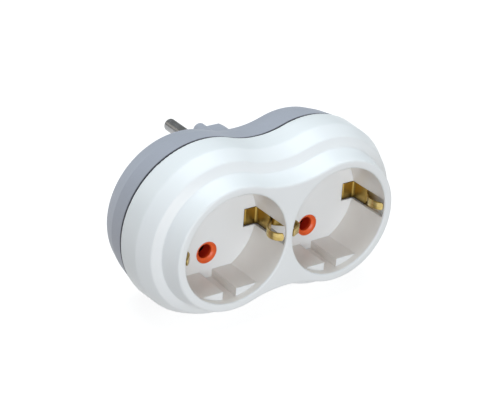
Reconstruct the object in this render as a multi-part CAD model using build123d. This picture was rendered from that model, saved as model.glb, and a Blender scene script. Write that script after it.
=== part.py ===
from build123d import *
import os
from math import atan2, degrees

os.makedirs("parts", exist_ok=True)

# Frame: X runs along the pair of sockets, Y from the front face towards the wall, Z is up.
# The origin is the centre of the plug's face, which meets the floor of the wall socket.

# Depths of the whole body, all in millimetres
plug_length = 17.3
body_depth = 40.0
front_y = -(plug_length + body_depth)
rear_y = -plug_length

# Socket recess: a tapered cup with two flat-topped guides
recess_radius = 19.65
recess_taper = 0.3
recess_depth = 17.6
rim_round = 0.7
cup_wall = 1.5
floor_thickness = 1.5
platform_reach = 3.25
platform_setback = 3.0
notch_width = 5.0
notch_wall = 1.35

# Two-lobed outline: lobe circles joined by waist arcs, the same offset all round
recess_web = 2.5
socket_pitch = 2 * recess_radius + recess_web
waist_dip = 3.5

# White front cover, in three tiers, as lobe radius and depth behind the front face
rim_width = 2.85
face_radius = recess_radius + rim_width
face_round = 0.9
step_flare = 1.7
step_radius = face_radius + step_flare
step_depth = 7.4
step_corner = 0.5
ledge_width = 3.3
ledge_radius = step_radius + ledge_width
ledge_fall = 1.3
ledge_depth = step_depth + ledge_fall
ledge_round = 1.0
shoulder_width = 2.6
shoulder_radius = ledge_radius + shoulder_width
shoulder_fall = 5.5
shoulder_depth = ledge_depth + shoulder_fall
shoulder_round = 3.0
skirt_flare = 0.4
skirt_radius = shoulder_radius + skirt_flare
skirt_height = 8.4
parting_depth = shoulder_depth + skirt_height
cover_wall = 2.0
cover_edge_round = 0.3

# Grey rear housing
parting_gap = 0.75
base_setback = 0.25
base_crease_drop = 1.3
base_crease_height = 8.5
base_crease_round = 3.0
base_shoulder_drop = 1.4
base_shoulder_height = 3.2
base_shoulder_round = 2.5
base_rear_drop = 3.0
base_rear_round = 0.8
base_wall = 2.0
lip_height = 2.6
lip_wall = 1.5
lip_clearance = 0.3

# Pins and their holes
pin_pitch = 19.0
pin_radius = 2.4
pin_length = 19.0
pin_tip_round = 0.8
hole_radius = 2.6
collar_radius = 4.3
collar_lip = 0.3
funnel_depth = 1.1
collar_clearance = 0.05

# Pin guide plate behind each socket floor
guide_width = 12.5
guide_height = 34.0
guide_corner = 3.0
guide_thickness = 3.0
guide_peg_radius = 1.0
guide_peg_margin = 2.0
guide_peg_spread = guide_height / 2 - guide_peg_margin
guide_peg_cap = 0.6
guide_peg_clearance = 0.05

# Earth slots and earth brackets
slot_width = 6.8
slot_length = 5.25
slot_rim = 1.0
slot_wall = 1.5
earth_strip = 0.7
earth_width = 6.2
earth_arm_offset = 0.35
earth_bend = 1.4
tongue_width = 2.8
hook_start_depth = 10.2
hook_crown_depth = 3.6
hook_crown_inset = 6.35
hook_crown_bend = 3.0
hook_knee_bend = 2.0
hook_end_depth = 1.0
hook_end_inset = 0.6

# Live strips and sleeves
strip_thickness = 0.8
strip_width = 6.2
strip_overhang = 4.2
sleeve_bore = 2.36
sleeve_wall = 0.6
sleeve_flare = 0.5
sleeve_flare_depth = 1.4
sleeve_gap = 0.5
sleeve_flange = 3.7
sleeve_flange_thickness = 0.8
sleeve_slit = 1.0
sleeve_slit_depth = 10.0
staking_clearance = 0.02
spring_thickness = 0.6
spring_width = 1.8
spring_groove = 0.15
spring_depth = 3.2
spring_gap = 1.6

# Plug body on the back
plug_radius = 18.1
plug_flat_drop = 2.0
plug_flat = plug_radius - plug_flat_drop
plug_ridge_width = 5.0
plug_ridge_height = 1.8
plug_ridge_reach = plug_flat + plug_ridge_height
plug_edge_round = 0.8
plug_groove_width = 7.0
plug_groove_depth = 2.8
plug_groove_floor = plug_radius - plug_groove_depth
plug_wall = 1.9
plug_cavity_radius = plug_groove_floor - plug_wall
plug_face_wall = 3.0
plug_barrier = 1.4
pin_flange_radius = 3.7
pin_flange_thickness = 1.4
pin_tail_radius = 2.0
pin_tenon_radius = 1.5
pin_shoulder = 0.5
rivet_head_height = 0.7
rivet_head_spread = 0.9
pin_hole_clearance = 0.03

# Earth bow of the plug
bow_strip = 0.8
bow_width = 5.6
bow_seat = 0.3
bow_arm = plug_groove_floor + bow_seat + bow_strip / 2
bow_crown = 1.3
bow_bulge = bow_arm + bow_crown
bow_bulge_depth = 10.5
bow_end_depth = 1.6
bow_bend = 1.3
bow_arm_bend = 3.0
bow_pad_height = 1.6
bow_pad_width = 4.0
bow_slot_clearance = 0.25

# Earth link between the brackets, and the post to the bow
link_width = 6.0
link_rivet_spread = 8.6
link_end = 3.4
link_length = 2 * (link_rivet_spread + link_end)
earth_rivet_radius = 1.3
post_radius = 2.6
post_tenon_radius = 1.4

# Housing screws at the waist
screw_radius = 1.45
screw_pilot = 1.3
screw_head_radius = 2.8
screw_head_height = 2.0
screw_length = 14.0
screw_cross = 0.9
screw_cross_depth = 1.1
screw_boss_radius = 3.9
screw_strip_gap = 0.5
screw_height = pin_pitch / 2 + strip_width / 2 + screw_strip_gap + screw_boss_radius
screw_seat_depth = 33.0
screw_clearance = 0.25
cover_boss_radius = 3.1
boss_joint_depth = 24.5
screw_point_room = 1.0

# Ribs that hold the live strips, and the latches at the ends
rib_thickness = 1.0
rib_height = 3.0
rib_clearance = 0.15
latch_width = 12.0
latch_nose = 0.8
latch_height = 1.6
latch_drop = 0.6

# Places worked out from the sizes above
socket_x = socket_pitch / 2
pin_z = pin_pitch / 2
floor_y = front_y + recess_depth
floor_back_y = floor_y + floor_thickness
parting_y = front_y + parting_depth
base_front_y = parting_y + parting_gap
rear_inside_y = rear_y - base_wall
strip_y = rear_inside_y - strip_thickness
waist_centre = (socket_x**2 - waist_dip**2) / (2 * waist_dip)
waist_reach = waist_centre + waist_dip
lobe_corner = degrees(atan2(waist_centre, socket_x))
cup_radius = recess_radius + cup_wall
slot_room = slot_length + recess_web / 2
slot_middle = socket_x - slot_room / 2
guide_back_y = floor_back_y + guide_thickness
link_front_y = floor_back_y + earth_strip
link_back_y = link_front_y + earth_strip
bow_back_y = rear_inside_y - bow_pad_height
bow_front_y = bow_back_y - bow_strip
neck_radius = pin_radius + pin_shoulder
sides = (-1, 1)


def prism(sketch, start, end):
    """Solid of a sketch drawn in X and Z, from depth start to depth end."""
    return extrude(Plane((0, start, 0), x_dir=(1, 0, 0), z_dir=(0, -1, 0)) * sketch, amount=start - end)


def rod(radius, start, end, x=0.0, z=0.0):
    """Round bar along Y."""
    return prism(Pos(x, z) * Circle(radius), start, end)


def turned(points, x=0.0, z=0.0):
    """Solid of revolution about a Y axis, from (radius, depth) corners."""
    face = make_face(Polyline(*points, close=True))
    return Pos(x, 0, z) * revolve(face, Axis.Y)


def profile_face(corners):
    """Half section from the axis out to (radius, depth, rounding) corners."""
    rim = [(r, y) for r, y, rounding in corners]
    face = make_face(Polyline((0, rim[0][1]), *rim, (0, rim[-1][1]), close=True))
    for r, y, rounding in corners:
        if rounding:
            corner = face.vertices().sort_by_distance((r, y, 0))[0]
            face = fillet(corner, rounding)
    return face


def outline_solid(corners):
    """Two-lobed solid: the section is turned about each lobe, and its mirror image cuts the waist."""
    start, end = corners[0][1], corners[-1][1]
    turn = 180 - lobe_corner
    section = profile_face(corners)
    lobe = revolve(Rot(0, -turn, 0) * section, Axis.Y, revolution_arc=2 * turn)
    right = Pos(socket_x, 0, 0) * lobe
    air = Pos(waist_reach / 2, (start + end) / 2) * Rectangle(waist_reach, end - start)
    groove = revolve(air - Pos(waist_reach, 0) * mirror(section, about=Plane.YZ), Axis.Y)
    tips = [(socket_x, 0), (0, waist_centre), (-socket_x, 0), (0, -waist_centre)]
    kite = make_face(Polyline(*tips, close=True))
    middle = prism(kite, start, end)
    for side in sides:
        middle -= Pos(0, 0, side * waist_centre) * groove
    return middle + right + mirror(right, about=Plane.YZ)


def cover_section(inset):
    """Corners of the front cover's outside, or of its inside when inset by the wall."""
    depth = front_y + inset
    return [
        (ledge_radius - inset, depth + ledge_depth, 0 if inset else ledge_round),
        (shoulder_radius - inset, depth + shoulder_depth, shoulder_round),
        (skirt_radius - inset, parting_y, 0 if inset else cover_edge_round),
    ]


def recess_tool():
    """Air of one socket recess: a tapered cup with a rounded rim."""
    wide = recess_radius + 2 * rim_round
    points = [
        (0, front_y - 1), (wide, front_y - 1), (wide, front_y),
        (recess_radius, front_y), (recess_radius - recess_taper, floor_y), (0, floor_y),
    ]
    face = make_face(Polyline(*points, close=True))
    rim = face.vertices().sort_by_distance((recess_radius, front_y, 0))[0]
    return revolve(fillet(rim, rim_round), Axis.Y)


def guide_platforms():
    """The two flat-topped guides in a recess, each with a rounded groove for the plug's ridge."""
    keep = Circle(recess_radius + cup_wall / 2)
    keep -= Rectangle(4 * recess_radius, 2 * (recess_radius - platform_reach))
    notch = SlotOverall(2 * (recess_radius - notch_wall), notch_width, rotation=90)
    return prism(keep - notch, front_y + platform_setback, floor_back_y)


def make_front_cover():
    outer = outline_solid([
        (face_radius, front_y, face_round),
        (step_radius, front_y + step_depth, step_corner),
        *cover_section(0),
    ])
    inner = outline_solid(cover_section(cover_wall))
    slot_backs = (cup_radius + slot_wall) * 2
    for side in sides:
        inner -= rod(cup_radius, front_y, floor_back_y, side * socket_x)
    for side in sides:
        block = Pos(side * socket_x, 0) * Rectangle(slot_backs, slot_width + 2 * slot_wall)
        inner -= prism(block, front_y, floor_back_y)
        inner -= rod(cover_boss_radius, front_y, front_y + boss_joint_depth, 0, side * screw_height)
    cover = outer - inner
    for side in sides:
        cover -= Pos(side * socket_x, 0, 0) * recess_tool()
    for side in sides:
        cover += Pos(side * socket_x, 0, 0) * guide_platforms()
        peg = rod(guide_peg_radius, floor_back_y, guide_back_y, side * socket_x)
        cap_radius = guide_peg_radius + guide_peg_cap
        cap = rod(cap_radius, guide_back_y, guide_back_y + guide_peg_cap, side * socket_x)
        for end in sides:
            cover += Pos(0, 0, end * guide_peg_spread) * (peg + cap)
        boss_start, boss_end = parting_y - lip_height, front_y + boss_joint_depth
        cover += rod(cover_boss_radius, boss_start, boss_end, 0, side * screw_height)
    for side in sides:
        for end in sides:
            slot = Pos(side * socket_x + end * slot_middle, 0) * Rectangle(slot_room, slot_width)
            cover -= prism(slot, front_y + slot_rim, floor_back_y + 1)
            collar_hole = rod(collar_radius + collar_clearance, floor_y - 1, floor_back_y + 1)
            cover -= Pos(side * socket_x, 0, end * pin_z) * collar_hole
        cover -= rod(
            earth_rivet_radius + rivet_head_spread + rib_clearance,
            floor_back_y - rivet_head_height - rib_clearance, floor_back_y + 1, side * link_rivet_spread,
        )
        pilot_start = front_y + screw_seat_depth - screw_length - screw_point_room
        cover -= rod(screw_pilot, pilot_start, front_y + boss_joint_depth + 1, 0, side * screw_height)
        pocket = Pos(side * (socket_x + skirt_radius - cover_wall), 0)
        pocket *= Rectangle(2 * (latch_nose + rib_clearance), latch_width + 2 * rib_clearance)
        cover -= prism(
            pocket, parting_y - lip_height + latch_drop - rib_clearance,
            parting_y - lip_height + latch_drop + latch_height + rib_clearance,
        )
    return cover


def make_pin_guide(side):
    plate = RectangleRounded(guide_width, guide_height, guide_corner)
    guide = prism(plate, floor_back_y, guide_back_y)
    channel = Rectangle(2 * guide_width, earth_width + 2 * rib_clearance)
    guide -= prism(channel, floor_back_y - 1, floor_back_y + earth_strip + rib_clearance)
    for end in sides:
        guide += rod(collar_radius, floor_y, floor_back_y, 0, end * pin_z)
    for end in sides:
        funnel = [
            (0, floor_y - 1), (collar_radius - collar_lip, floor_y - 1),
            (collar_radius - collar_lip, floor_y), (hole_radius, floor_y + funnel_depth),
            (hole_radius, guide_back_y + 1), (0, guide_back_y + 1),
        ]
        guide -= turned(funnel, 0, end * pin_z)
        peg_hole = rod(guide_peg_radius + guide_peg_clearance, floor_back_y - 1, guide_back_y + 1)
        guide -= Pos(0, 0, end * guide_peg_spread) * peg_hole
    return Pos(side * socket_x, 0, 0) * guide


def bent_strip(points, bends, thickness, width):
    """Flat strip bent in the X and Y plane along the middle line of its thickness."""
    line = FilletPolyline(*points, radius=bends)
    section = trace(line, thickness)
    return extrude(section, amount=width / 2, both=True)


def make_earth_bracket(side):
    """U-shaped strip: it crosses behind the floor, and both arms end in a hooked tongue near the rim."""
    arm = recess_radius + earth_arm_offset
    back = floor_back_y + earth_strip / 2
    half = [
        (recess_radius - hook_end_inset, front_y + hook_end_depth),
        (recess_radius - hook_crown_inset, front_y + hook_crown_depth),
        (arm, front_y + hook_start_depth),
        (arm, back),
    ]
    bends = [hook_crown_bend, hook_knee_bend, earth_bend]
    points = [(-x, y) for x, y in half] + half[::-1]
    bracket = bent_strip(points, bends + bends[::-1], earth_strip, earth_width)
    tongue_top = front_y - 1
    tongue_foot = front_y + hook_start_depth + (earth_width - tongue_width) / 2
    shoulder = front_y + hook_start_depth
    for end in sides:
        waste = make_face(Polyline(
            (tongue_top, end * tongue_width / 2), (tongue_top, end * earth_width),
            (tongue_foot, end * earth_width), (tongue_foot, end * earth_width / 2),
            (shoulder, end * tongue_width / 2), close=True,
        ))
        bracket -= extrude(Plane.YZ * waste, amount=2 * recess_radius, both=True)
    bracket = Pos(side * socket_x, 0, 0) * bracket
    rivet_hole = rod(earth_rivet_radius + staking_clearance, floor_y, link_back_y)
    return bracket - Pos(side * link_rivet_spread, 0, 0) * rivet_hole


def make_earth_link():
    link = prism(RectangleRounded(link_length, link_width, link_width / 4), link_front_y, link_back_y)
    for side in sides:
        rivet_hole = rod(earth_rivet_radius + staking_clearance, link_front_y, link_back_y)
        link -= Pos(side * link_rivet_spread, 0, 0) * rivet_hole
    return link - rod(post_tenon_radius + staking_clearance, link_front_y, link_back_y)


def make_earth_rivet(side):
    head = earth_rivet_radius + rivet_head_spread
    return turned([
        (0, floor_back_y - rivet_head_height), (head / 2, floor_back_y - rivet_head_height),
        (head, floor_back_y), (earth_rivet_radius, floor_back_y),
        (earth_rivet_radius, link_back_y), (head, link_back_y),
        (head / 2, link_back_y + rivet_head_height), (0, link_back_y + rivet_head_height),
    ], side * link_rivet_spread)


def make_earth_post():
    """Turned post that carries the earth from the link back to the plug's bow."""
    head = post_tenon_radius + rivet_head_spread
    return turned([
        (0, link_front_y), (post_tenon_radius, link_front_y), (post_tenon_radius, link_back_y),
        (post_radius, link_back_y),
        (post_radius, bow_front_y), (post_tenon_radius, bow_front_y), (post_tenon_radius, bow_back_y),
        (head, bow_back_y), (head, bow_back_y + rivet_head_height / 2), (0, bow_back_y + rivet_head_height),
    ])


def make_plug_earth_bow():
    """U-shaped strip: it crosses inside the housing, and its legs lie in the plug's side grooves."""
    middle = (bow_front_y + bow_back_y) / 2
    leg = [(bow_arm, -bow_end_depth), (bow_bulge, -bow_bulge_depth), (bow_arm, rear_y + 1)]
    half = [*leg, (bow_arm, middle)]
    bends = [bow_arm_bend, bow_arm_bend, bow_bend]
    points = [(-x, y) for x, y in half] + half[::-1]
    bow = bent_strip(points, bends + bends[::-1], bow_strip, bow_width)
    return bow - rod(post_tenon_radius + staking_clearance, bow_front_y - 1, bow_back_y + 1)


def make_busbar(end):
    """Flat live strip that joins one plug pin to the same pole of both sockets."""
    bar = prism(SlotOverall(socket_pitch + 2 * strip_overhang, strip_width), strip_y, rear_inside_y)
    hole = sleeve_bore + sleeve_wall + staking_clearance
    for side in sides:
        eye = rod(sleeve_flange, strip_y, rear_inside_y, side * socket_x)
        bar += eye
    for side in sides:
        bar -= rod(hole, strip_y - 1, rear_inside_y + 1, side * socket_x)
    bar -= rod(pin_tenon_radius + staking_clearance, strip_y - 1, rear_inside_y + 1)
    return Pos(0, 0, end * pin_z) * bar


def make_contact_sleeve(side, end):
    """Split brass sleeve with a flared mouth, staked into the live strip."""
    outer = sleeve_bore + sleeve_wall
    mouth_y = guide_back_y + guide_peg_cap + sleeve_gap
    groove_y = mouth_y + spring_depth
    sleeve = turned([
        (sleeve_bore + sleeve_flare, mouth_y), (outer + sleeve_flare, mouth_y),
        (outer, mouth_y + sleeve_flare_depth), (outer, groove_y),
        (outer - spring_groove, groove_y), (outer - spring_groove, groove_y + spring_width),
        (outer, groove_y + spring_width), (outer, strip_y - sleeve_flange_thickness),
        (sleeve_flange, strip_y - sleeve_flange_thickness), (sleeve_flange, strip_y),
        (outer, strip_y), (outer, rear_inside_y), (sleeve_bore, rear_inside_y),
        (sleeve_bore, mouth_y + sleeve_flare_depth),
    ])
    for turn in (0, 90):
        slit = Rot(0, 0, turn) * Rectangle(4 * sleeve_flange, sleeve_slit)
        sleeve -= prism(slit, mouth_y - 1, mouth_y + sleeve_slit_depth)
    return Pos(side * socket_x, 0, end * pin_z) * sleeve


def make_sleeve_spring(side, end):
    """Open steel ring that presses the sleeve's leaves together."""
    inner = sleeve_bore + sleeve_wall - spring_groove + staking_clearance
    start = guide_back_y + guide_peg_cap + sleeve_gap + spring_depth + staking_clearance
    stop = start + spring_width - 2 * staking_clearance
    ring = Circle(inner + spring_thickness) - Circle(inner)
    ring -= Pos(side * (inner + spring_thickness), 0) * Rectangle(2 * inner, spring_gap)
    return Pos(side * socket_x, 0, end * pin_z) * prism(ring, start, stop)


def make_plug_pin(end):
    """Turned pin: rounded tip, flange behind the plug's face, and a tail riveted to the live strip."""
    flange_y = -plug_face_wall
    head = pin_tenon_radius + rivet_head_spread
    corners = [
        (0, strip_y - rivet_head_height), (head / 2, strip_y - rivet_head_height), (head, strip_y),
        (pin_tenon_radius, strip_y), (pin_tenon_radius, rear_inside_y), (pin_tail_radius, rear_inside_y),
        (pin_tail_radius, flange_y - pin_flange_thickness),
        (pin_flange_radius, flange_y - pin_flange_thickness), (pin_flange_radius, flange_y),
        (neck_radius, flange_y), (neck_radius, 0),
        (pin_radius, 0), (pin_radius, pin_length), (0, pin_length),
    ]
    face = make_face(Polyline(*corners, close=True))
    tip = face.vertices().sort_by_distance((pin_radius, pin_length, 0))[0]
    return Pos(0, 0, end * pin_z) * revolve(fillet(tip, pin_tip_round), Axis.Y)


def plug_sketch():
    """Outline of the plug: a round body with two flats and a ridge on each flat."""
    body = Circle(plug_radius) & Rectangle(3 * plug_radius, 2 * plug_flat)
    body += SlotOverall(2 * plug_ridge_reach, plug_ridge_width, rotation=90)
    return body


def plug_grooves():
    """Side channels of the plug that the earth bow's legs lie in."""
    depth = 2 * (plug_radius - plug_groove_floor)
    groove = Rectangle(depth, plug_groove_width)
    return Pos(plug_radius, 0) * groove + Pos(-plug_radius, 0) * groove


def base_section(inset):
    """Corners of the rear housing's outside, or of its inside when inset by the wall."""
    front = skirt_radius - base_setback - inset
    crease = front - base_crease_drop
    shoulder = crease - base_shoulder_drop
    return [
        (front, base_front_y, 0 if inset else cover_edge_round),
        (crease, rear_y - base_crease_height, base_crease_round),
        (shoulder, rear_y - base_shoulder_height - inset, base_shoulder_round),
        (shoulder - base_rear_drop, rear_y - inset, 0 if inset else base_rear_round),
    ]


def plug_shell():
    """Plug body with a rounded front edge."""
    shell = prism(plug_sketch(), rear_y - base_wall / 2, 0)
    edge = shell.faces().sort_by(Axis.Y)[-1].edges()
    return fillet(edge, plug_edge_round)


def make_rear_housing():
    lip_radius = skirt_radius - cover_wall - lip_clearance
    root_radius = skirt_radius - base_setback - base_wall / 2
    lip_y = parting_y - lip_height
    seat_y = base_front_y + lip_height
    housing = outline_solid(base_section(0)) - outline_solid(base_section(base_wall))
    lip = outline_solid([(lip_radius, lip_y, 0), (lip_radius, seat_y, 0)])
    lip += outline_solid([(root_radius, base_front_y, 0), (root_radius - base_crease_drop, seat_y, 0)])
    lip -= outline_solid([(lip_radius - lip_wall, lip_y - 1, 0), (lip_radius - lip_wall, seat_y + 1, 0)])
    housing += lip
    for side in sides:
        nose = Pos(side * (socket_x + lip_radius), 0) * Rectangle(2 * latch_nose, latch_width)
        housing += prism(nose, lip_y + latch_drop, lip_y + latch_drop + latch_height)
    housing += plug_shell()
    housing -= rod(plug_cavity_radius, rear_y - base_wall - 1, -plug_face_wall)
    barrier = Rectangle(2 * plug_cavity_radius, plug_barrier)
    housing += prism(barrier, rear_y, -plug_face_wall)
    rail_gap = strip_width + 2 * rib_clearance
    for end in sides:
        rail = Pos(0, end * pin_z) * Rectangle(socket_pitch, rail_gap + 2 * rib_thickness)
        rail -= Pos(0, end * pin_z) * Rectangle(2 * socket_pitch, rail_gap)
        for side in sides:
            rail -= Pos(side * socket_x, end * pin_z) * Circle(sleeve_flange + rib_clearance)
        rail -= Circle(plug_cavity_radius)
        housing += prism(rail, rear_inside_y - rib_height, rear_inside_y)
        boss_start = front_y + boss_joint_depth + rib_clearance
        housing += rod(screw_boss_radius, boss_start, rear_inside_y, 0, end * screw_height)
        pad = Pos(end * (bow_arm - bow_pad_width), 0) * Rectangle(bow_pad_width, bow_width)
        housing += prism(pad, bow_back_y, rear_y - base_wall / 2)
    housing -= prism(plug_grooves(), rear_y, 1)
    for end in sides:
        slot = Pos(end * bow_arm, 0) * Rectangle(
            bow_strip + 2 * bow_slot_clearance, bow_width + 2 * bow_slot_clearance
        )
        housing -= prism(slot, rear_y - 2 * base_wall, rear_y + 1)
        housing -= rod(neck_radius + pin_hole_clearance, -plug_face_wall - 1, 1, 0, end * pin_z)
        screw_hole = rod(screw_radius + screw_clearance, front_y + boss_joint_depth - 1, rear_y)
        screw_hole += rod(screw_head_radius + screw_clearance, front_y + screw_seat_depth, rear_y + 1)
        housing -= Pos(0, 0, end * screw_height) * screw_hole
    return housing


def make_housing_screw(end):
    """Pan-head screw from the back, sunk in its counterbore, with a cross recess."""
    seat = front_y + screw_seat_depth
    top = seat + screw_head_height
    screw = turned([
        (0, seat - screw_length), (screw_pilot, seat - screw_length + screw_radius), (screw_pilot, seat),
        (screw_head_radius, seat), (screw_head_radius, top - screw_head_height / 3),
        (screw_head_radius * 2 / 3, top), (0, top),
    ])
    for turn in (0, 90):
        cross = Rot(0, 0, turn) * Rectangle(screw_head_radius, screw_cross)
        screw -= prism(cross, top - screw_cross_depth, top + 1)
    return Pos(0, 0, end * screw_height) * screw


names = {-1: ("left", "lower"), 1: ("right", "upper")}
parts = {
    "front_cover": make_front_cover(),
    "rear_housing": make_rear_housing(),
    "earth_link": make_earth_link(),
    "earth_post": make_earth_post(),
    "plug_earth_bow": make_plug_earth_bow(),
}
for side in sides:
    across, height = names[side]
    parts[f"pin_guide_{across}"] = make_pin_guide(side)
    parts[f"earth_bracket_{across}"] = make_earth_bracket(side)
    parts[f"earth_rivet_{across}"] = make_earth_rivet(side)
    parts[f"busbar_{height}"] = make_busbar(side)
    parts[f"plug_pin_{height}"] = make_plug_pin(side)
    parts[f"housing_screw_{height}"] = make_housing_screw(side)
    for end in sides:
        parts[f"contact_sleeve_{across}_{names[end][1]}"] = make_contact_sleeve(side, end)
        parts[f"sleeve_spring_{across}_{names[end][1]}"] = make_sleeve_spring(side, end)

for name, shape in parts.items():
    export_step(shape, f"parts/{name}.step")
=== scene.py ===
import bmesh
import bpy
import numpy as np
from mathutils import Matrix, Vector


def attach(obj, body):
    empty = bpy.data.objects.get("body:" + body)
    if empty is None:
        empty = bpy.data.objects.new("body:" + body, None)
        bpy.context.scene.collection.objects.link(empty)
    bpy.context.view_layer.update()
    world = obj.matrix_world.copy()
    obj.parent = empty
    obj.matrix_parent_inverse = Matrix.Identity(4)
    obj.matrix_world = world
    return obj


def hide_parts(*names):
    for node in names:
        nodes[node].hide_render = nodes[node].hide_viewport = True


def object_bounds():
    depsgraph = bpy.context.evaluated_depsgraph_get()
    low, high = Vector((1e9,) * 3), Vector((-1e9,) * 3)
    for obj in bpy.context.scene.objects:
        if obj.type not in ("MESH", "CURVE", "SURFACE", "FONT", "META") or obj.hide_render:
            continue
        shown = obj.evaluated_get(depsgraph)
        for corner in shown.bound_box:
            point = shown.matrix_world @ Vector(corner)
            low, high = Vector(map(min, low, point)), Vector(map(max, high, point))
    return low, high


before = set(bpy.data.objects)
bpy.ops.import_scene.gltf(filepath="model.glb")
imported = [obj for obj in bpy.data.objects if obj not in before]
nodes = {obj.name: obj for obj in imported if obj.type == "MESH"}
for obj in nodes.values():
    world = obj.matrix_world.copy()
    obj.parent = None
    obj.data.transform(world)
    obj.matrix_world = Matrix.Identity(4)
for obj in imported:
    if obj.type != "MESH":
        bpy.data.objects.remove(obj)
cad_low, cad_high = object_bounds()
mm = 0.001


# The camera stands left of the front and 27 degrees up, with a slight roll, where the
# photograph was taken from. Distances are in metres and angles in degrees.
camera_azimuth = -36.483
camera_elevation = 27.337
camera_roll = 4.085
camera_distance = 0.5154
camera_shift = (-0.001895, 0.000351)
camera_aim = np.array((0.0, -0.0373, 0.0))
camera_lens = 109.27

a, e, r = np.radians((camera_azimuth, camera_elevation, camera_roll))
back = np.array((np.sin(a) * np.cos(e), -np.cos(a) * np.cos(e), np.sin(e)))
level = np.array((np.cos(a), np.sin(a), 0.0))
upright = np.cross(back, level)
right = np.cos(r) * level + np.sin(r) * upright
up = np.cos(r) * upright - np.sin(r) * level
stand = camera_aim + back * camera_distance + right * camera_shift[0] + up * camera_shift[1]

camera_data = bpy.data.cameras.new("camera")
camera_data.lens = camera_lens
camera_data.sensor_width = 36.0
camera_data.clip_start = 0.01
camera = bpy.data.objects.new("camera", camera_data)
bpy.context.scene.collection.objects.link(camera)
turn = Matrix(np.column_stack((right, up, back)).tolist()).to_4x4()
camera.matrix_world = Matrix.Translation(Vector(stand)) @ turn
bpy.context.scene.camera = camera


# Soft studio light. A wide panel hangs overhead, three stand in front, two of them low enough to
# reach into the recesses, one stands behind, and a pale room fills in from all round.
light_aim = Vector((0.0, -0.03, 0.0))


def hex_colour(code):
    """sRGB hex to linear RGBA: a channel is divided by 12.92 near black and raised to 2.4 above."""
    value = np.array([int(code[i:i + 2], 16) for i in (1, 3, 5)]) / 255
    linear = np.where(value <= 0.04045, value / 12.92, ((value + 0.055) / 1.055) ** 2.4)
    return (*linear.tolist(), 1.0)


def add_panel(name, location, size, power, colour):
    """Square area light of that size in metres and power in watts, turned to face the adapter."""
    data = bpy.data.lights.new(name, "AREA")
    data.shape = "SQUARE"
    data.size = size
    data.energy = power
    data.color = hex_colour(colour)[:3]
    light = bpy.data.objects.new(name, data)
    bpy.context.scene.collection.objects.link(light)
    light.location = location
    light.rotation_mode = "QUATERNION"
    light.rotation_quaternion = (Vector(location) - light_aim).to_track_quat("Z", "Y")


add_panel("overhead_panel", (0.0, 0.1, 0.9), 0.8, 6.1, "#EBF9FF")
add_panel("front_panel", (-0.25, -1.2, 0.35), 0.5, 3.8, "#E6EEFF")
add_panel("low_left_panel", (-0.75, -1.1, 0.02), 0.5, 5.4, "#E4F2FF")
add_panel("low_front_panel", (-0.2, -1.2, 0.0), 0.5, 2.9, "#FFEBBE")
add_panel("rear_panel", (-0.7, 0.7, 0.5), 0.5, 0.6, "#FFF6E6")

world = bpy.data.worlds.new("pale_room")
bpy.context.scene.world = world
world.use_nodes = True
room = world.node_tree.nodes["Background"]
room.inputs["Color"].default_value = hex_colour("#FBFFFF")
room.inputs["Strength"].default_value = 0.33
bpy.context.scene.view_settings.view_transform = "Standard"


# The table top is a plain sheet of pale paper, level with the lowest point of the adapter.
# It glows faintly, as paper does under a light table, and throws no light up at the adapter.
table_reach = 4.0


def new_material(name, **sockets):
    """A node material with its surface shader's plain values set, and the tree to build it in."""
    material = bpy.data.materials.new(name)
    material.use_nodes = True
    shader = material.node_tree.nodes["Principled BSDF"]
    for key, value in sockets.items():
        socket = key.replace("_", " ").title().replace("Ior", "IOR")
        shader.inputs[socket].default_value = value
    return material, material.node_tree, shader


def add_mesh(name, points, faces, material):
    """Links a new object at the origin, with the mesh of these points and faces in one material."""
    mesh = bpy.data.meshes.new(name)
    mesh.from_pydata(points.reshape(-1, 3).tolist(), [], faces)
    mesh.materials.append(material)
    mesh.update()
    thing = bpy.data.objects.new(name, mesh)
    bpy.context.scene.collection.objects.link(thing)
    return thing


paper, tree, shader = new_material(
    "pale_paper", base_color=hex_colour("#909090"), roughness=0.9,
    emission_color=hex_colour("#FFFFFF"), emission_strength=0.85)
corners = np.array(((-1, -1), (1, -1), (1, 1), (-1, 1))) * table_reach
points = np.column_stack((corners, np.full(4, cad_low.z)))
table_top = add_mesh("table_top", points, [(0, 1, 2, 3)], paper)
table_top.visible_diffuse = False


# White front cover: polycarbonate moulded in one shot, satin all over, with the recess walls
# painted a little warmer and darker as painted bounce light and shade. A channel for the plug's
# ridge parts both guides down to the recess wall, and the upper guides start deeper in, out of
# sight from above.
front_y = -57.3 * mm
socket_x = 20.9 * mm
recess_reach = (20.05 * mm, 19.75 * mm)
recess_start = (front_y + 0.3 * mm, front_y + 0.9 * mm)
wall_facing = (0.7, 0.3)
slot_start = (socket_x + 19.9 * mm, socket_x + 20.3 * mm)
slot_end = (22.0 * mm, 21.2 * mm)
slot_shade = (front_y + 2.0 * mm, front_y + 9.0 * mm)

# The cover's other sizes are in mm, with depths counted from its front face.
pin_z = 9.5
floor_depth = 17.6
wall_radius = 19.66
wall_taper = 0.3
collar_hole = 4.35
collar_span = (17.0, 19.3)
collar_trim = 0.3
round_slack = 0.02
channel_width = 5.2
channel_depth = (2.8, 17.61)
channel_start = 15.0
guide_width = 22.4
upper_guide_depth = (2.8, 5.3)
upper_guide_start = 16.0
cutter_points = 25
moulded_edge = 30

# A noise's usual lowest and highest value, how far a moulding's gloss swings about its mean, and
# the size of the patches that hands have wiped smoother, with their share in the gloss.
noise_low, noise_high = 0.3, 0.7
gloss_swing = 0.06
wiped_mm = 14
wiped_share = 0.35

# A Mix node's sockets for its two colours, and its output for the mixed one.
first, second, mixed = 6, 7, 2


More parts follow.
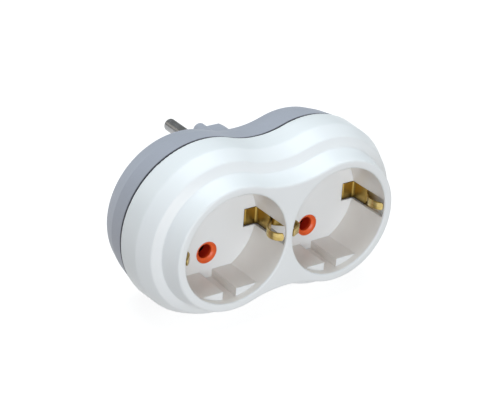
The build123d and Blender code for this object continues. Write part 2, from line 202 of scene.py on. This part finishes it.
def add_node(tree, kind, settings=None, links=None):
    """Adds one shader node: settings set its properties or sockets, links join sockets to outputs.

    A socket goes by its name, or by its number where the node has more than one of that name."""
    node = tree.nodes.new(kind)
    for key, value in (settings or {}).items():
        if isinstance(key, str) and hasattr(node, key):
            setattr(node, key, value)
        else:
            node.inputs[key].default_value = value
    for key, source in (links or {}).items():
        tree.links.new(source, node.inputs[key])
    return node


def object_place(tree):
    """The place on the part in metres."""
    return add_node(tree, "ShaderNodeTexCoord").outputs["Object"]


def moulded_surface(tree, shader, place, roughness, grain_mm, depth_mm, edge_mm):
    """Eroded grain of the mould in the gloss and the bump, over edges that are softly rounded.

    Such a grain is usually about 0.05 mm wide, and is drawn coarser to show in the render."""
    grain = add_node(tree, "ShaderNodeTexNoise",
                     {"Scale": 1 / (grain_mm * mm), "Detail": 3.0, "Roughness": 0.6},
                     {"Vector": place})
    wipe = add_node(tree, "ShaderNodeTexNoise", {"Scale": 1 / (wiped_mm * mm), "Detail": 2.0},
                    {"Vector": place})
    both = add_node(tree, "ShaderNodeMix", {"Factor": wiped_share},
                    {"A": grain.outputs["Fac"], "B": wipe.outputs["Fac"]})
    gloss = add_node(tree, "ShaderNodeMapRange",
                     {"From Min": noise_low, "From Max": noise_high,
                      "To Min": roughness - gloss_swing, "To Max": roughness + gloss_swing},
                     {"Value": both.outputs[0]})
    tree.links.new(gloss.outputs["Result"], shader.inputs["Roughness"])
    edge = add_node(tree, "ShaderNodeBevel", {"samples": 4, "Radius": edge_mm * mm})
    bump = add_node(tree, "ShaderNodeBump", {"Strength": 0.6, "Distance": depth_mm * mm},
                    {"Height": grain.outputs["Fac"], "Normal": edge.outputs["Normal"]})
    tree.links.new(bump.outputs["Normal"], shader.inputs["Normal"])


def shade_drift(tree, shader, place, colour, span_mm, amount):
    """Gives the surface this colour, made lighter and darker by that share in slow patches."""
    drift = add_node(tree, "ShaderNodeTexNoise", {"Scale": 1 / (span_mm * mm), "Detail": 2.0},
                     {"Vector": place})
    level = add_node(tree, "ShaderNodeMapRange",
                     {"From Min": noise_low, "From Max": noise_high,
                      "To Min": 1 - amount, "To Max": 1 + amount},
                     {"Value": drift.outputs["Fac"]})
    tone = add_node(tree, "ShaderNodeVectorMath", {"operation": "SCALE"},
                    {0: colour, "Scale": level.outputs["Result"]})
    tree.links.new(tone.outputs[0], shader.inputs["Base Color"])


# The walls' painted warm shade, standing in for bounce light and shade in the recesses, goes where
# a point is within a recess's radius, behind its rim and on an upright surface. The slots at the
# adapter's two ends are painted browner with depth, as painted shade from the brass strips.
white_plastic, tree, shader = new_material("white_polycarbonate", ior=1.5)
place = object_place(tree)
parts = add_node(tree, "ShaderNodeSeparateXYZ", {}, {"Vector": place})
from_middle = add_node(tree, "ShaderNodeMath", {"operation": "ABSOLUTE"}, {0: parts.outputs["X"]})
from_socket = add_node(tree, "ShaderNodeMath", {"operation": "SUBTRACT", 1: socket_x},
                       {0: from_middle.outputs[0]})
from_socket = add_node(tree, "ShaderNodeCombineXYZ", {},
                       {"X": from_socket.outputs[0], "Y": parts.outputs["Z"]})
radius = add_node(tree, "ShaderNodeVectorMath", {"operation": "LENGTH"},
                  {0: from_socket.outputs[0]})
facing = add_node(tree, "ShaderNodeTexCoord").outputs["Normal"]
facing = add_node(tree, "ShaderNodeSeparateXYZ", {}, {"Vector": facing})
facing = add_node(tree, "ShaderNodeMath", {"operation": "ABSOLUTE"}, {0: facing.outputs["Y"]})
near = add_node(tree, "ShaderNodeMapRange",
                {"From Min": recess_reach[0], "From Max": recess_reach[1]},
                {"Value": radius.outputs["Value"]})
deep = add_node(tree, "ShaderNodeMapRange",
                {"From Min": recess_start[0], "From Max": recess_start[1]},
                {"Value": parts.outputs["Y"]})
upright_wall = add_node(tree, "ShaderNodeMapRange",
                        {"From Min": wall_facing[0], "From Max": wall_facing[1]},
                        {"Value": facing.outputs[0]})
inside = add_node(tree, "ShaderNodeMath", {"operation": "MULTIPLY"},
                  {0: near.outputs[0], 1: deep.outputs[0]})
wall = add_node(tree, "ShaderNodeMath", {"operation": "MULTIPLY"},
                {0: inside.outputs[0], 1: upright_wall.outputs[0]})
# Painted warm shade on the recess walls.
tone = add_node(tree, "ShaderNodeMix",
                {"data_type": "RGBA", first: hex_colour("#EEEFF0"), second: hex_colour("#EAE5DF")},
                {"Factor": wall.outputs[0]})
ends = add_node(tree, "ShaderNodeMapRange", {"From Min": slot_start[0], "From Max": slot_start[1]},
                {"Value": from_middle.outputs[0]})
outside = add_node(tree, "ShaderNodeMapRange", {"From Min": slot_end[0], "From Max": slot_end[1]},
                   {"Value": radius.outputs["Value"]})
shaded = add_node(tree, "ShaderNodeMapRange",
                  {"From Min": slot_shade[0], "From Max": slot_shade[1]},
                  {"Value": parts.outputs["Y"]})
# Painted shade: the slots darken to brown with depth, as if shaded by the brass strips.
slot_shade_mask = add_node(tree, "ShaderNodeMath", {"operation": "MULTIPLY"},
                {0: ends.outputs[0], 1: outside.outputs[0]})
slot_shade_mask = add_node(tree, "ShaderNodeMath", {"operation": "MULTIPLY"},
                {0: slot_shade_mask.outputs[0], 1: shaded.outputs[0]})
tone = add_node(tree, "ShaderNodeMix", {"data_type": "RGBA", second: hex_colour("#B89E6C")},
                {"Factor": slot_shade_mask.outputs[0], first: tone.outputs[mixed]})
shade_drift(tree, shader, place, tone.outputs[mixed], span_mm=30, amount=0.012)
moulded_surface(tree, shader, place, roughness=0.36, grain_mm=0.5, depth_mm=0.008, edge_mm=0.5)


def copied_mesh(name, node):
    """A CAD node's triangles as a new mesh, merged at their corners, and its points as an array."""
    shape = bmesh.new()
    shape.from_mesh(nodes[node].data)
    bmesh.ops.remove_doubles(shape, verts=shape.verts, dist=0.001 * mm)
    mesh = bpy.data.meshes.new(name)
    shape.to_mesh(mesh)
    shape.free()
    if "custom_normal" in mesh.attributes:
        mesh.attributes.remove(mesh.attributes["custom_normal"])
    points = np.empty(3 * len(mesh.vertices))
    mesh.vertices.foreach_get("co", points)
    return mesh, points.reshape(-1, 3)


def trimmed_round(points, radii):
    """Points about the floor at one of these radii from a pin's axis come nearer by the trim."""
    for side in (-1, 1):
        for end in (-1, 1):
            axis = np.array((side * socket_x, end * pin_z * mm))
            offset = points[:, [0, 2]] - axis
            reach = np.linalg.norm(offset, axis=1)
            hit = np.any([np.abs(reach - r * mm) < round_slack * mm for r in radii], axis=0)
            hit &= points[:, 1] > front_y + collar_span[0] * mm
            hit &= points[:, 1] < front_y + collar_span[1] * mm
            nearer = 1 - collar_trim * mm / reach[hit, None]
            points[np.ix_(hit, (0, 2))] = axis + offset[hit] * nearer
    return points


def smooth_sides(mesh, sharp_degrees):
    """Shades the mesh smooth, but for the edges that turn by more than that angle."""
    mesh.shade_smooth()
    mesh.set_sharp_from_angle(angle=np.radians(sharp_degrees))


def show_mesh(mesh, material, node):
    """Links the mesh as an object that stands for a CAD node."""
    mesh.materials.clear()
    mesh.materials.append(material)
    smooth_sides(mesh, moulded_edge)
    thing = bpy.data.objects.new(mesh.name, mesh)
    bpy.context.scene.collection.objects.link(thing)
    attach(thing, "root")
    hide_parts(node)
    return thing


def cutter_mesh(name, side, end, width, start, depths):
    """Block to cut from a guide between two depths: X spans the width, and Z runs out to the wall.

    The wall is a cone, so its Z is the root of its radius there squared less X squared."""
    x = np.linspace(-width / 2, width / 2, cutter_points)
    low = np.column_stack((x, np.full(cutter_points, start)))
    rings = []
    for depth in depths:
        wall = wall_radius - wall_taper * depth / floor_depth
        high = np.column_stack((x, np.sqrt(wall**2 - x**2)))
        ring = np.vstack((low, high[::-1]))
        rings.append(np.column_stack((ring[:, 0], np.full(len(ring), depth), ring[:, 1] * end)))
    points = np.array(rings) * mm + np.array((side * socket_x, front_y, 0.0))
    index = np.arange(2 * len(ring)).reshape(2, -1)
    after = np.roll(index, -1, axis=1)
    sides = np.stack((index[0], after[0], after[1], index[1]), -1).tolist()
    faces = sides + [index[0][::-1].tolist(), index[1].tolist()]
    cutter = add_mesh(name, points, faces, white_plastic)
    shape = bmesh.new()
    shape.from_mesh(cutter.data)
    bmesh.ops.recalc_face_normals(shape, faces=shape.faces)
    shape.to_mesh(cutter.data)
    shape.free()
    return cutter


cover_mesh, points = copied_mesh("moulded_cover", "front_cover")
points = trimmed_round(points, (collar_hole,))
cover_mesh.vertices.foreach_set("co", points.ravel())
cover = show_mesh(cover_mesh, white_plastic, "front_cover")
cutters = []
for side in (-1, 1):
    for end in (-1, 1):
        cutters.append(cutter_mesh(f"channel_{side}_{end}", side, end, channel_width,
                                   channel_start, channel_depth))
    cutters.append(cutter_mesh(f"setback_{side}", side, 1, guide_width,
                               upper_guide_start, upper_guide_depth))
for cutter in cutters:
    cut = cover.modifiers.new(cutter.name, "BOOLEAN")
    cut.operation = "DIFFERENCE"
    cut.solver = "EXACT"
    cut.object = cutter
bpy.context.view_layer.update()
finished = cover.evaluated_get(bpy.context.evaluated_depsgraph_get())
carved = bpy.data.meshes.new_from_object(finished)
cover.modifiers.clear()
cover.data = carved
smooth_sides(carved, moulded_edge)
for cutter in cutters:
    bpy.data.objects.remove(cutter)


# Grey rear housing: glass-filled polyamide with a fine matt grain from the eroded tool. It snaps
# into the cover along the waist-shaped joint, where its front edge is painted dark as painted shade
# in the gap. Its rear band is painted paler where it faces the two ends, as painted light.
joint_shade_span = (front_y + 23.85 * mm, front_y + 23.4 * mm)
rear_band_start = (front_y + 30.6 * mm, front_y + 31.2 * mm)


def dress(names, material):
    """Gives CAD nodes one material in place of their own."""
    for name in names:
        slots = nodes[name].data.materials
        slots.clear()
        slots.append(material)


grey_plastic, tree, shader = new_material("grey_polyamide", ior=1.53)
place = object_place(tree)
speck = add_node(tree, "ShaderNodeTexNoise", {"Scale": 1 / (0.6 * mm), "Detail": 2.0},
                 {"Vector": place})
parts = add_node(tree, "ShaderNodeSeparateXYZ", {}, {"Vector": place})
facing = add_node(tree, "ShaderNodeTexCoord").outputs["Normal"]
facing = add_node(tree, "ShaderNodeSeparateXYZ", {}, {"Vector": facing})
facing = add_node(tree, "ShaderNodeMath", {"operation": "POWER", 1: 2.0}, {0: facing.outputs["X"]})
rear_band = add_node(tree, "ShaderNodeMapRange",
                     {"From Min": rear_band_start[0], "From Max": rear_band_start[1]},
                     {"Value": parts.outputs["Y"]})
# Painted light: the rear band is paler where it faces left or right.
rear_band_painted_light = add_node(tree, "ShaderNodeMath", {"operation": "MULTIPLY"},
                {0: facing.outputs[0], 1: rear_band.outputs[0]})
plain = add_node(tree, "ShaderNodeMix",
                 {"data_type": "RGBA", first: hex_colour("#A9ABB6"), second: hex_colour("#B1B3BE")},
                 {"Factor": speck.outputs["Fac"]})
tone = add_node(tree, "ShaderNodeMix", {"data_type": "RGBA", second: hex_colour("#C0C2CD")},
                {"Factor": rear_band_painted_light.outputs[0], first: plain.outputs[mixed]})
# Painted shade: the housing's front edge darkens along the joint with the cover.
joint_painted_shade = add_node(tree, "ShaderNodeMapRange", {"From Min": joint_shade_span[0], "From Max": joint_shade_span[1]},
                 {"Value": parts.outputs["Y"]})
tone = add_node(tree, "ShaderNodeMix", {"data_type": "RGBA", second: hex_colour("#3E3B44")},
                {"Factor": joint_painted_shade.outputs[0], first: tone.outputs[mixed]})
shade_drift(tree, shader, place, tone.outputs[mixed], span_mm=25, amount=0.025)
moulded_surface(tree, shader, place, roughness=0.52, grain_mm=0.35, depth_mm=0.02, edge_mm=0.3)
dress(["rear_housing"], grey_plastic)


# Orange pin guides: urea moulding compound, glossy and dense, pressed as one plate with two
# collars. The holes deepen to a dark red, because light dies away in the coloured bore.
collar_y = front_y + floor_depth * mm
bore_shade = (collar_y + 0.9 * mm, collar_y + 2.4 * mm)
collar_rounds = (4.0, 4.3)
bore_radius = 2.6
bore_end = 22.1
bore_end_slack = 0.05
bore_run = 0.95

orange_plastic, tree, shader = new_material("orange_urea", ior=1.54)
place = object_place(tree)
parts = add_node(tree, "ShaderNodeSeparateXYZ", {}, {"Vector": place})
depth = add_node(tree, "ShaderNodeMapRange", {"From Min": bore_shade[0], "From Max": bore_shade[1]},
                 {"Value": parts.outputs["Y"]})
tone = add_node(tree, "ShaderNodeMix",
                {"data_type": "RGBA", first: hex_colour("#F5682C"), second: hex_colour("#C02A12")},
                {"Factor": depth.outputs[0]})
shade_drift(tree, shader, place, tone.outputs[mixed], span_mm=3, amount=0.05)
moulded_surface(tree, shader, place, roughness=0.35, grain_mm=0.4, depth_mm=0.008, edge_mm=0.25)

for across, side in (("left", -1), ("right", 1)):
    guide_mesh, points = copied_mesh(f"collar_plate_{across}", f"pin_guide_{across}")
    at_end = np.abs(points[:, 1] - front_y - bore_end * mm) < bore_end_slack * mm
    for end in (-1, 1):
        reach = np.hypot(points[:, 0] - side * socket_x, points[:, 2] - end * pin_z * mm)
        points[at_end & (np.abs(reach - bore_radius * mm) < round_slack * mm), 1] += bore_run * mm
    points = trimmed_round(points, collar_rounds)
    guide_mesh.vertices.foreach_set("co", points.ravel())
    show_mesh(guide_mesh, orange_plastic, f"pin_guide_{across}")


# Earth brackets: half-hard brass strip, blanked, bent to a U and riveted behind the floor, which it
# steps up to in each slot. Each arm ends in a narrow tongue, bent by hand to its own height, so no
# two are quite alike. Sizes are in mm, with depths from the cover's front face.
strip = 0.7
strip_edge = 0.14
floor_back = 19.1
foot_depth = 18.0
foot_rise = (14.85, 14.95)
foot_bend = 1.4
joggle_bend = 0.4
arm_reach = 20.0
arm_width = 6.2
knee_bend = 2.0
shoulder_start = 1.0
shoulder_length = 0.4
tongue_width = 2.8
tip_depth = 1.0
tip_run = 0.7
tip_narrowing = 0.75
lift_run = 5.0

# The tongues of each outlet's left and right arm: the crown's reach from the outlet's middle, its
# depth, its bend and its lift in Z, then the knee's depth and the tip's reach.
tongues = {
    "left": ((14.2, 5.6, 3.4, 0.0, 9.4, 19.05), (11.9, 4.5, 4.0, -0.4, 9.6, 19.05)),
    "right": ((11.4, 5.0, 3.2, 0.0, 11.0, 19.05), (16.2, 5.1, 4.8, 0.7, 9.4, 19.4)),
}

# How finely the strip is drawn: points on each arc, steps along it, and points on each corner.
arc_steps = 10
run_step = 0.35
least_step = 0.03
corner_points = 5
strip_sharp = 50

# Where the rubbed front of the brass turns to the painted shade behind in Y, and where the low edge
# is painted darker in Z. Lines from rolls and from a lathe are usually about 0.05 mm apart, and are
# drawn coarser to show in the render.
rubbed_and_shade_span = (front_y + 11.0 * mm, front_y + 8.0 * mm)
low_edge_shade_span = (-1.2 * mm, -3.0 * mm)
tool_line_mm = 0.4


def bent_line(corners, bends):
    """Middle line of a bent strip: straight runs, joined at each corner by an arc touching both.

    It also gives each point's distance along the line."""
    corners = np.asarray(corners, float)
    pieces = [corners[:1]]
    for before, corner, after, bend in zip(corners[:-2], corners[1:-1], corners[2:], bends):
        u = (before - corner) / np.linalg.norm(before - corner)
        v = (after - corner) / np.linalg.norm(after - corner)
        half = np.arccos(np.clip(u @ v, -1, 1)) / 2
        middle = (u + v) / np.linalg.norm(u + v)
        centre = corner + middle * bend / np.sin(half)
        swing = np.linspace(-1, 1, arc_steps) * (np.pi / 2 - half)
        side = np.array((-middle[1], middle[0]))
        side = side if side @ v > 0 else -side
        arc = centre - bend * np.outer(np.cos(swing), middle)
        pieces.append(arc + bend * np.outer(np.sin(swing), side))
    pieces.append(corners[-1:])
    line = np.vstack(pieces)
    gaps = np.linalg.norm(np.diff(line, axis=0), axis=1)
    length = np.concatenate(((0.0,), np.cumsum(gaps)))
    extra = np.arange(0.0, length[-1], run_step)
    stations = np.unique(np.concatenate((length, extra)))
    stations = stations[np.append(np.diff(stations) > least_step, True)]
    return np.column_stack([np.interp(stations, length, line[:, k]) for k in (0, 1)]), stations


def strip_mesh(name, line, stations, half_width, lift, centre, material):
    """Strip carried along a line in X and Y: a rounded rectangle at each station, as wide as asked.

    A section point lies at the line, plus its share of the thickness along the line's normal,
    plus its share of the width along Z. Two flat faces close the ends."""
    tangent = np.gradient(line, axis=0)
    tangent /= np.linalg.norm(tangent, axis=1)[:, None]
    normal = np.column_stack((tangent[:, 1], -tangent[:, 0]))
    quarter = np.radians(np.linspace(0, 90, corner_points))
    angle = np.concatenate([quarter + k * np.pi / 2 for k in range(4)])
    middle = np.repeat(np.radians((45, 135, 225, 315)), corner_points)
    out = np.sign(np.cos(middle)) * (strip / 2 - strip_edge) + strip_edge * np.cos(angle)
    over = np.sign(np.sin(middle)) * (half_width[:, None] - strip_edge)
    over = over + strip_edge * np.sin(angle) + lift[:, None]
    flat = line[:, None, :] + normal[:, None, :] * out[None, :, None]
    points = np.concatenate((flat, over[..., None]), axis=-1) * mm + np.array(centre)
    rows, columns = points.shape[:2]
    index = np.arange(rows * columns).reshape(rows, columns)
    ring = np.hstack((index, index[:, :1]))
    quads = np.stack((ring[:-1, :-1], ring[1:, :-1], ring[1:, 1:], ring[:-1, 1:]), -1)
    faces = quads.reshape(-1, 4).tolist() + [index[0].tolist(), index[-1][::-1].tolist()]
    thing = add_mesh(name, points, faces, material)
    mesh = thing.data
    around = np.hypot(np.diff(out), np.diff(over[rows // 2]))
    girth = np.concatenate(((0.0,), np.cumsum(around)))
    grid = np.stack(np.broadcast_arrays(stations[:, None], girth[None, :]), -1) * mm
    corner = np.empty(len(mesh.loops), int)
    mesh.loops.foreach_get("vertex_index", corner)
    uv = grid.reshape(-1, 2)[corner]
    mesh.uv_layers.new(name="along_strip").data.foreach_set("uv", uv.ravel())
    smooth_sides(mesh, strip_sharp)
    return thing


def rolled_brass(name, along_strip):
    """Rolled brass: fine lines along the strip, or along Y where the piece has no strip's UV map.

    It is bright in front, where plugs rub the tongues, and browner behind and at the low edge,
    which is painted shade."""
    material, tree, shader = new_material(name, metallic=1.0)
    place = object_place(tree)
    drawn, stretch = place, (1.0, 0.12, 1.0)
    if along_strip:
        drawn = add_node(tree, "ShaderNodeUVMap", {"uv_map": "along_strip"}).outputs["UV"]
        stretch = (0.1, 1.0, 1.0)
    drawn = add_node(tree, "ShaderNodeMapping", {"Scale": stretch}, {"Vector": drawn})
    lines = add_node(tree, "ShaderNodeTexNoise", {"Scale": 1 / (tool_line_mm * mm), "Detail": 2.0},
                     {"Vector": drawn.outputs["Vector"]})
    clouds = add_node(tree, "ShaderNodeTexNoise", {"Scale": 1 / (5 * mm), "Detail": 3.0},
                      {"Vector": place})
    parts = add_node(tree, "ShaderNodeSeparateXYZ", {}, {"Vector": place})
    # Painted shade: the brass darkens behind the rubbed front.
    rubbed_front_shaded_back = add_node(tree, "ShaderNodeMapRange",
                      {"interpolation_type": "SMOOTHSTEP",
                       "From Min": rubbed_and_shade_span[0], "From Max": rubbed_and_shade_span[1]},
                      {"Value": parts.outputs["Y"]})
    brown = add_node(tree, "ShaderNodeMix",
                     {"data_type": "RGBA", first: hex_colour("#8E7032"),
                      second: hex_colour("#C0A35B")},
                     {"Factor": clouds.outputs["Fac"]})
    streaks = add_node(tree, "ShaderNodeMapRange", {"From Min": 0.35, "From Max": 0.65},
                       {"Value": lines.outputs["Fac"]})
    bright = add_node(tree, "ShaderNodeMix",
                      {"data_type": "RGBA", first: hex_colour("#A88C42"),
                       second: hex_colour("#DEC98E")},
                      {"Factor": streaks.outputs["Result"]})
    # Painted shade: the strip darkens towards its low edge.
    low_edge_painted_shade = add_node(tree, "ShaderNodeMapRange",
                        {"From Min": low_edge_shade_span[0], "From Max": low_edge_shade_span[1]},
                        {"Value": parts.outputs["Z"]})
    brown = add_node(tree, "ShaderNodeMix", {"data_type": "RGBA", second: hex_colour("#33240A")},
                     {"Factor": low_edge_painted_shade.outputs["Result"], first: brown.outputs[mixed]})
    tone = add_node(tree, "ShaderNodeMix", {"data_type": "RGBA"},
                    {"Factor": rubbed_front_shaded_back.outputs["Result"], first: brown.outputs[mixed],
                     second: bright.outputs[mixed]})
    tree.links.new(tone.outputs[mixed], shader.inputs["Base Color"])
    gloss = add_node(tree, "ShaderNodeMapRange", {"To Min": 0.34, "To Max": 0.28},
                     {"Value": rubbed_front_shaded_back.outputs["Result"]})
    tree.links.new(gloss.outputs["Result"], shader.inputs["Roughness"])
    bump = add_node(tree, "ShaderNodeBump", {"Strength": 0.5, "Distance": 0.015 * mm},
                    {"Height": lines.outputs["Fac"]})
    tree.links.new(bump.outputs["Normal"], shader.inputs["Normal"])
    return material


strip_brass = rolled_brass("rolled_brass_strip", True)
for across, side in (("left", -1), ("right", 1)):
    crown_reach, crown_depth, crown_bend, crown_lift, knee, tip = np.transpose(tongues[across])
    arms = []
    for k, arm in enumerate((-1, 1)):
        arms.append([(arm * tip[k], tip_depth), (arm * crown_reach[k], crown_depth[k]),
                     (arm * arm_reach, knee[k]), (arm * arm_reach, foot_depth),
                     (arm * foot_rise[1], foot_depth),
                     (arm * foot_rise[0], floor_back + strip / 2)])
    arm_bends = [knee_bend, foot_bend, joggle_bend, joggle_bend]
    bends = [crown_bend[0], *arm_bends, *arm_bends[::-1], crown_bend[1]]
    line, stations = bent_line(arms[0] + arms[1][::-1], bends)
    on_left = line[:, 0] < 0
    past_knee = line[:, 1] - np.where(on_left, *knee)
    shoulder = (shoulder_start, shoulder_start + shoulder_length)
    half_width = np.interp(past_knee, shoulder, (tongue_width / 2, arm_width / 2))
    to_tip = np.minimum(stations, stations[-1] - stations)
    from_full = 1 - np.clip(to_tip / tip_run, 0, 1)
    half_width *= np.sqrt(1 - tip_narrowing * from_full ** 2)
    lift = np.where(on_left, *crown_lift) * np.interp(past_knee, (-lift_run, 0.0), (1.0, 0.0))
    bracket = strip_mesh(f"earth_strip_{across}", line, stations, half_width, lift,
                         (side * socket_x, front_y, 0.0), strip_brass)
    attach(bracket, "root")
    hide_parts(f"earth_bracket_{across}")


# Live parts and earth rivets, link and post: turned and pressed brass, seen only through the pin
# holes and slots. The lines run along the bar that they were turned from.
turned_brass = rolled_brass("turned_brass", False)
dress(["busbar_upper", "busbar_lower", "earth_link", "earth_post"], turned_brass)
for across in ("left", "right"):
    dress([f"earth_rivet_{across}"], turned_brass)
    dress([f"contact_sleeve_{across}_upper", f"contact_sleeve_{across}_lower"], turned_brass)


# Plug pins: brass turned on a bar lathe and nickel plated. Fine rings from the tool run round them,
# and the plating is a little smeared where fingers and sockets have rubbed it.
def nickel_plate(name, stretch, tone_low, tone_high):
    """Nickel plating over fine tool lines, with slow smears in its gloss."""
    material, tree, shader = new_material(name, metallic=1.0)
    place = object_place(tree)
    drawn = add_node(tree, "ShaderNodeMapping", {"Scale": stretch}, {"Vector": place})
    lines = add_node(tree, "ShaderNodeTexNoise", {"Scale": 1 / (tool_line_mm * mm), "Detail": 2.0},
                     {"Vector": drawn.outputs["Vector"]})
    smear = add_node(tree, "ShaderNodeTexNoise", {"Scale": 1 / (4 * mm), "Detail": 3.0},
                     {"Vector": place})
    tone = add_node(tree, "ShaderNodeMix",
                    {"data_type": "RGBA", first: hex_colour(tone_low),
                     second: hex_colour(tone_high)},
                    {"Factor": smear.outputs["Fac"]})
    tree.links.new(tone.outputs[mixed], shader.inputs["Base Color"])
    gloss = add_node(tree, "ShaderNodeMapRange", {"To Min": 0.16, "To Max": 0.34},
                     {"Value": smear.outputs["Fac"]})
    tree.links.new(gloss.outputs["Result"], shader.inputs["Roughness"])
    bump = add_node(tree, "ShaderNodeBump", {"Strength": 0.4, "Distance": 0.01 * mm},
                    {"Height": lines.outputs["Fac"]})
    tree.links.new(bump.outputs["Normal"], shader.inputs["Normal"])
    return material


turned_nickel = nickel_plate("turned_nickel", (0.05, 1.0, 0.05), "#8A8A8A", "#AEAEB0")
dress(["plug_pin_upper", "plug_pin_lower"], turned_nickel)


# Earth bow of the plug: one nickel-plated brass strip, bent to a spring that stands a little
# proud of the grooves in the plug's sides.
drawn_nickel = nickel_plate("drawn_nickel", (0.08, 0.08, 1.0), "#B4B2AC", "#CFCDC8")
dress(["plug_earth_bow"], drawn_nickel)


# Sleeve springs and housing screws: drawn steel wire and cold-headed screws, zinc plated with a
# faintly clouded, bluish surface.
zinc, tree, shader = new_material("zinc_plate", metallic=1.0)
place = object_place(tree)
cloud = add_node(tree, "ShaderNodeTexVoronoi", {"Scale": 1 / (0.8 * mm)}, {"Vector": place})
tone = add_node(tree, "ShaderNodeMix",
                {"data_type": "RGBA", first: hex_colour("#A9AEB5"), second: hex_colour("#C5C9CE")},
                {"Factor": cloud.outputs["Distance"]})
tree.links.new(tone.outputs[mixed], shader.inputs["Base Color"])
gloss = add_node(tree, "ShaderNodeMapRange", {"To Min": 0.28, "To Max": 0.45},
                 {"Value": cloud.outputs["Distance"]})
tree.links.new(gloss.outputs["Result"], shader.inputs["Roughness"])
dress(["housing_screw_upper", "housing_screw_lower"], zinc)
for across in ("left", "right"):
    dress([f"sleeve_spring_{across}_upper", f"sleeve_spring_{across}_lower"], zinc)
